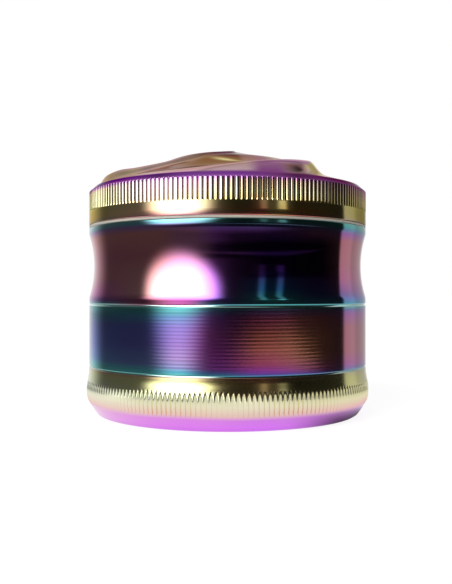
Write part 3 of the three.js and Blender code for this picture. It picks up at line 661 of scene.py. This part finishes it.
def build_screen():
    # crimped hoop, rolled over the edge of the mesh
    prof = rounded([(25.2, 12.22, 0), (26.55, 12.2, 0.25), (26.55, 13.15, 0.25), (25.2, 13.15, 0.12), (25.16, 12.98, 0.06), (25.9, 12.93, 0.05), (25.95, 12.5, 0.05), (25.16, 12.42, 0.06), (25.2, 12.22, 0)], steps=5)[:-1]
    rings = rings_from(prof, 256)
    v, f = revolve(rings, closed=True)
    hoop = mesh_object("sieve_hoop", v, f, 35)
    dress(hoop, mat_steel, "barrel", "steel", "screen_frame")
    # plain-woven wire cloth
    pitch, rw, R = 0.74, 0.085, 25.75
    n = int(R / pitch)
    parts_v, parts_f, base = [], [], 0
    sides = np.arange(4) * TAU / 4 + TAU / 8
    for direction in (0, 1):
        for i in range(-n, n + 1):
            c = i * pitch
            half = math.sqrt(max(R * R - c * c, 0)) - 0.02
            if half < 1.5:
                continue
            k = max(int(2 * half / (pitch / 2)), 4)
            t = np.linspace(-half, half, k)
            sgn = 1 if (i + direction) % 2 == 0 else -1
            wave = sgn * 0.088 * np.cos(math.pi * t / pitch)
            slope = -sgn * 0.088 * math.pi / pitch * np.sin(math.pi * t / pitch)
            nx, nz = -slope / np.sqrt(1 + slope**2), 1 / np.sqrt(1 + slope**2)
            along = t[:, None] + rw * np.sin(sides)[None, :] * nx[:, None]
            up = 12.7 + wave[:, None] + rw * np.sin(sides)[None, :] * nz[:, None]
            across = c + rw * np.cos(sides)[None, :] + 0 * along
            xyz = (along, across, up) if direction == 0 else (across, along, up)
            parts_v.append(np.stack(xyz, -1).reshape(-1, 3))
            idx = base + np.arange(k * 4).reshape(k, 4)
            a, b_ = idx[:-1], idx[1:]
            q = np.stack([a, np.roll(a, -1, 1), np.roll(b_, -1, 1), b_], -1).reshape(-1, 4)
            caps = np.array([idx[0][::-1], idx[-1]])
            if direction == 0:
                q, caps = q[:, ::-1], caps[:, ::-1]
            parts_f += q.tolist() + caps.tolist()
            base += k * 4
    V = np.concatenate(parts_v)
    me = bpy.data.meshes.new("sieve_cloth")
    me.from_pydata((V * MM).tolist(), [], parts_f)
    me.update()
    ob = bpy.data.objects.new("sieve_cloth", me)
    scene.collection.objects.link(ob)
    bm = bmesh.new()
    bm.from_mesh(me)
    bmesh.ops.recalc_face_normals(bm, faces=bm.faces)
    bm.to_mesh(me)
    bm.free()
    finish_shading(ob, 80)
    dress(ob, mat_wire, "barrel", "sieve_steel", "screen_mesh")
    prof = rounded([(25.9, 13.35), (27.15, 13.35, 0.12), (27.15, 14.1, 0.12), (25.5, 14.1, 0.3), (25.5, 13.35, 0.12), (25.9, 13.35)], steps=4)[:-1]
    v, f = revolve(rings_from(prof, 256), closed=True)
    ob = mesh_object("retaining_ring", v, f, 35)
    dress(ob, mat_steel, "barrel_seat", "steel", "screen_retaining_ring")


# ------------------------------------------------------------------ grinding cup
def build_cup():
    seg = 320
    prof = rounded([(0, 25.0), (25.3, 25.0, 0.6), (25.4, 19.9, 0.2), (27.5, 19.9, 0.1), (27.62, 20.15)])
    rings = rings_from(prof, seg)
    rings += rings_from([(27.62, z, "m") for z in np.arange(20.2, 23.8, 0.125)], seg, {"m": male_thread(20.2, 23.75, 0.36)})
    rings += rings_from(rounded([(27.6, 23.85), (27.6, 24.4, 0.1), (30.80, 24.4), (31.0, 24.63), (31.0, 24.9)]), seg)
    waist = lambda z: 1.1 * np.clip(1 - ((z - 32.75) / 7.0) ** 2, 0, None)
    zs = np.concatenate([np.linspace(25.25, 26.25, 11), np.linspace(26.7, 38.9, 25), np.linspace(39.3, 40.25, 10)])
    rings += rings_from([(31.0 - float(np.mean(waist(z + np.linspace(-0.42, 0.42, 43)))), z, None) for z in zs], seg)
    inner = rounded([(31.0, 40.4), (31.0, 41.05, 0.2), (27.75, 41.05, 0.1), (27.5, 40.8, 0.1), (27.5, 28.5, 1.0), (4.5, 28.5, 0.6), (4.5, 35.4, 0.35), (3.05, 35.4, 0.08), (3.05, 32.3, 0), (0, 32.3)], steps=6)
    rings += rings_from(inner, seg)
    v, f = revolve(rings, closed=False)
    ob = mesh_object("grinding_cup", v, f, 28)
    tools = []
    for r, a, rad in around(DROP_HOLES):
        cutter = rounded([(0, 24.0), (rad + 0.45, 24.0), (rad + 0.45, 24.9), (rad, 25.35), (rad, 28.2), (rad + 0.45, 28.65), (rad + 0.45, 29.4), (0, 29.4)])
        cv, cf = revolve(rings_from(cutter, 40), closed=False)
        tools.append((cv + np.array([r * math.cos(a), r * math.sin(a), 0]), cf))
    boolean(ob, mesh_object("cut", *joined(tools)), "DIFFERENCE")
    teeth = [tooth(r, a, 28.5, 39.4) for r, a, _ in around(CUP_TEETH)]
    boolean(ob, mesh_object("add", *joined(teeth)), "UNION")
    finish_shading(ob, 28)
    dress(ob, mat_cup, "cup", "cup_metal", "grinding_chamber", *[f"cup_tooth_{i + 1:02d}" for i in range(20)])


# ------------------------------------------------------------------ lid
def build_lid():
    N = GROOVES * 6
    seg = 384
    under = rounded([(0, 39.1), (3.05, 39.1), (3.05, 36.0, 0.08), (4.5, 36.0, 0.35), (4.5, 42.5, 0.6), (25.2, 42.5, 0.5), (25.2, 39.0, 0.3), (27.2, 39.0, 0.3), (27.2, 41.6, 0.1), (31.0, 41.6, 0.2), (31.0, 43.0), (31.0, 44.3)], steps=5)
    rings = rings_from(under, seg)
    bevel = lambda z: 31.0 if z <= 48.9 else 31.0 - (z - 48.9) * 1.2 / 1.1
    depth = lambda z: float(0.18 * math.sqrt(max(0.0, 1 - (1 - min(max((z - 44.5) / 0.45, 0), 1)) ** 2)))
    lid_depth = lambda z: min(depth(z), max(0.0, depth(z) - (31.0 - bevel(z)))) if z > 48.9 else depth(z)
    zs = [44.48, 44.5, 44.53, 44.58, 44.66, 44.78, 44.95, 45.6, 46.6, 47.6, 48.5, 48.8, 48.9, 48.95, 49.0, 49.06, 49.2]
    rings += knurled(bevel, lid_depth, zs, pointed=False)
    rings += rings_from([(bevel(z), z, None) for z in (49.5, 49.8)], seg)
    crest_seg = seg
    radii = list(np.concatenate([[29.8, 29.5, 29.1], np.linspace(28.6, 3.0, 50), [2.2, 1.5, 0.8]]))
    ang = evenly(crest_seg)
    az = np.arctan2(np.cos(ang), -np.sin(ang))
    for r in radii:
        h, _, _ = crown_parts(np.full(crest_seg, r), az)
        rings.append((crest_seg, r, h, ang))
    tip = float(crown_parts(np.array([0.0]), np.array([0.0]))[0][0])
    rings.append((1, 0, tip, None))
    v, f = revolve(rings, closed=False)
    ob = mesh_object("lid_shell", v, f, 28)
    teeth = [tooth(r, a, 42.5, 29.6) for r, a, _ in around(LID_TEETH)]
    boolean(ob, mesh_object("add", *joined(teeth)), "UNION")
    finish_shading(ob, 28)
    me = ob.data
    co = np.empty(len(me.vertices) * 3)
    me.vertices.foreach_get("co", co)
    co = co.reshape(-1, 3) / MM
    r = np.hypot(co[:, 0], co[:, 1])
    _, bump, flank_glint = crown_parts(np.clip(r, 0, 29.8), np.arctan2(co[:, 0], -co[:, 1]))
    outer = co[:, 2] >= 49.9
    weights = {"crest": bump * smoothstep(4, 12, r) * (1 - smoothstep(28.0, 29.6, r)),
               "flank_glint": flank_glint * smoothstep(9, 18, r) * (1 - smoothstep(27.6, 29.2, r))}
    for key, w in weights.items():
        layer = me.attributes.new(key, "FLOAT", "POINT")
        layer.data.foreach_set("value", np.where(outer, w, 0.0))
    dress(ob, mat_lid, "lid", "lid_metal", "lid", *[f"lid_tooth_{i + 1:02d}" for i in range(12)])


def build_small():
    prof = rounded([(29, 41.07), (30.95, 41.07, 0.16), (30.95, 41.58, 0.16), (27.4, 41.58, 0.12), (27.4, 41.07, 0.12), (29, 41.07)])[:-1]
    v, f = revolve(rings_from(prof, 320), closed=True)
    ob = mesh_object("nylon_ring", v, f, 40)
    dress(ob, mat_nylon, "lid", "nylon", "friction_ring")
    for name, z0, z1, body, node, face in (("lid_magnet_disc", 36.0, 39.0, "lid_seat", "lid_magnet", -1), ("cup_magnet_disc", 32.4, 35.4, "cup_seat", "chamber_magnet", 1)):
        prof = rounded([(0, z0), (3.0, z0, 0.22), (3.0, z1, 0.22), (0, z1)], steps=5)
        v, f = revolve(rings_from(prof, 96), closed=False)
        ob = mesh_object(name, v, f, 40)
        dress(ob, mat_nickel, body, "magnet", node)


build_base()
build_barrel()
build_screen()
build_cup()
build_lid()
build_small()

# ------------------------------------------------------------------ floor, light and camera
bm = bmesh.new()
bmesh.ops.create_grid(bm, x_segments=2, y_segments=2, size=6.0)
me = bpy.data.meshes.new("floor")
bm.to_mesh(me)
bm.free()
floor = bpy.data.objects.new("floor", me)
scene.collection.objects.link(floor)
fm = bpy.data.materials.new("pale_floor")
fm.use_nodes = True
ft = Tree(fm.node_tree)
fm.node_tree.nodes.clear()
out = ft.node("ShaderNodeOutputMaterial")
diffuse = ft.node("ShaderNodeBsdfDiffuse")
diffuse.inputs["Color"].default_value = (0.92, 0.92, 0.92, 1)
glow = ft.node("ShaderNodeEmission")
glow.inputs["Color"].default_value = (1, 1, 1, 1)
glow.inputs["Strength"].default_value = 1.16
half = ft.node("ShaderNodeMixShader")
half.inputs[0].default_value = 0.78
ft.link(diffuse.outputs[0], half.inputs[1])
ft.link(glow.outputs[0], half.inputs[2])
clear = ft.node("ShaderNodeBsdfTransparent")
path = ft.node("ShaderNodeLightPath")
pick = ft.node("ShaderNodeMixShader")
# in reflections only the pool of light round the object shows; the rest gives way to the studio
fpos = ft.node("ShaderNodeSeparateXYZ")
ft.link(ft.node("ShaderNodeNewGeometry").outputs["Position"], fpos.inputs[0])
fx, fy = fpos.outputs[0], fpos.outputs[1]
frad = ft.math("SQRT", ft.math("ADD", ft.math("MULTIPLY", fx, fx), ft.math("MULTIPLY", fy, fy)))
faz = ft.math("ARCTAN2", fx, ft.math("MULTIPLY", fy, -1.0))
pool = ft.node("ShaderNodeEmission")
shade = ft.math("MULTIPLY", ft.math("MULTIPLY", ft.smooth(faz, 0.35, 0.95), ft.smooth(faz, 2.6, 2.1)), ft.smooth(frad, 0.034, 0.029))
ft.link(ft.math("ADD", 0.95, ft.math("MULTIPLY", shade, -0.8)), pool.inputs["Strength"])
seen = ft.node("ShaderNodeMixShader")
ft.link(ft.smooth(frad, 0.068, 0.125), seen.inputs[0])
ft.link(pool.outputs[0], seen.inputs[1])
ft.link(clear.outputs[0], seen.inputs[2])
ft.link(path.outputs["Is Glossy Ray"], pick.inputs[0])
ft.link(half.outputs[0], pick.inputs[1])
ft.link(seen.outputs[0], pick.inputs[2])
ft.link(pick.outputs[0], out.inputs[0])
floor.data.materials.append(fm)

world = bpy.data.worlds.new("studio")
scene.world = world
world.use_nodes = True
wt = Tree(world.node_tree)
world.node_tree.nodes.clear()
wout = wt.node("ShaderNodeOutputWorld")
bg = wt.node("ShaderNodeBackground")
co = wt.node("ShaderNodeTexCoord").outputs["Generated"]
sep = wt.node("ShaderNodeSeparateXYZ")
wt.link(co, sep.inputs[0])
dx, dy, dz = sep.outputs


def direction(az, el):
    a, e = math.radians(az), math.radians(el)
    return (math.cos(e) * math.sin(a), -math.cos(e) * math.cos(a), math.sin(e))


def spot(az, el, radius, soft):
    """A round soft light at an azimuth from the front (+ to the right) and an elevation, in degrees."""
    d = direction(az, el)
    dot = wt.math("ADD", wt.math("ADD", wt.math("MULTIPLY", dx, d[0]), wt.math("MULTIPLY", dy, d[1])), wt.math("MULTIPLY", dz, d[2]))
    return wt.smooth(dot, math.cos(math.radians(radius + soft)), math.cos(math.radians(radius - soft)))


waz = wt.math("ARCTAN2", dx, wt.math("MULTIPLY", dy, -1.0))
DEG = math.pi / 180


def band(a0, a1, soft):
    return wt.math("MULTIPLY", wt.smooth(waz, (a0 - soft) * DEG, (a0 + soft) * DEG), wt.smooth(waz, (a1 + soft) * DEG, (a1 - soft) * DEG))


wel = wt.math("ARCSINE", dz)


def ramp_up(x, a, b):
    return wt.smooth(x, a * DEG, b * DEG)


def times(*v):
    out = v[0]
    for q in v[1:]:
        out = wt.math("MULTIPLY", out, q)
    return out


def plus(*v):
    out = v[0]
    for q in v[1:]:
        out = wt.math("ADD", out, q)
    return out


# large soft box at the front left, brightest in the middle
qa = wt.math("DIVIDE", wt.math("ADD", waz, 39.5 * DEG), 31 * DEG)
qe = wt.math("DIVIDE", wt.math("SUBTRACT", wel, 28.5 * DEG), 30.5 * DEG)
q2 = plus(times(qa, qa), times(qe, qe))
edge_power = plus(times(wt.math("DIVIDE", times(qa, qa), wt.math("MAXIMUM", q2, 0.001)), 0.9), 2.6)
octa = times(wt.math("EXPONENT", times(wt.math("POWER", q2, edge_power), -1.0)), 5.0)
# white walls at the sides and behind
right = plus(times(ramp_up(waz, 105.5, 109.0), 0.75), times(ramp_up(waz, 122, 130), -0.22), times(ramp_up(waz, 150, 168), 0.40))
left = times(ramp_up(waz, -112, -155), 0.93)
walls = times(plus(right, left), plus(times(ramp_up(wel, 9, 20), -0.22), times(ramp_up(wel, 44, 66), -0.70), 1.0))
# pale table below and a ceiling panel
below = times(wt.smooth(dz, -0.60, -0.74), 0.9)
above = times(ramp_up(wel, 54, 66), 0.44)
# far end of the table, seen low in the front, and two narrow stands
depth_ = wt.math("DIVIDE", plus(times(wel, -1.0), -2.9 * DEG), 2.9 * DEG)
depth_ = wt.math("MINIMUM", wt.math("MAXIMUM", depth_, 0.0), 1.3)
side = wt.math("ABSOLUTE", plus(waz, -42 * DEG, times(depth_, 11 * DEG)))
gap = plus(times(depth_, 43 * DEG), 3 * DEG, times(side, -1.0))
table = times(wt.smooth(gap, -3 * DEG, 3 * DEG), wt.smooth(depth_, 0.0, 0.3), ramp_up(wel, -6.9, -6.1), 0.34)
stands = plus(times(plus(band(26, 31, 1.6), band(42, 47, 1.6)), ramp_up(wel, 4.8, 5.4), ramp_up(wel, 36, 32), 0.22), times(band(40, 47, 1.4), ramp_up(wel, 4.8, 5.4), ramp_up(wel, 11, 8.5), 0.40),
              times(band(22, 50, 6.0), ramp_up(wel, 3.2, 4.6), ramp_up(wel, 15, 12), 0.04))
haze = times(ramp_up(waz, 8, -20), ramp_up(waz, -125, -112), 0.085)
total = plus(octa, walls, below, above, table, stands, haze, 0.018)
lp = wt.node("ShaderNodeLightPath")
cm = wt.node("ShaderNodeMix", data_type="FLOAT")
wt.link(lp.outputs["Is Camera Ray"], cm.inputs[0])
wt.link(total, cm.inputs[2])
cm.inputs[3].default_value = 1.0
wt.link(cm.outputs[0], bg.inputs["Strength"])
bg.inputs["Color"].default_value = (1, 1, 1, 1)
wt.link(bg.outputs[0], wout.inputs[0])

cam_data = bpy.data.cameras.new("camera")
cam_data.sensor_width = 36.0
cam_data.sensor_fit = "AUTO"
cam_data.lens = 804.0 / 584.0 * 36.0
cam_data.shift_x, cam_data.shift_y = -0.0026, 0.0034
cam_data.clip_start, cam_data.clip_end = 0.005, 50.0
cam = bpy.data.objects.new("camera", cam_data)
cam.location = (0.0, -0.1829, 0.0266)
cam.rotation_euler = (math.radians(90), 0, 0)
scene.collection.objects.link(cam)
scene.camera = cam
scene.view_settings.view_transform = "Standard"
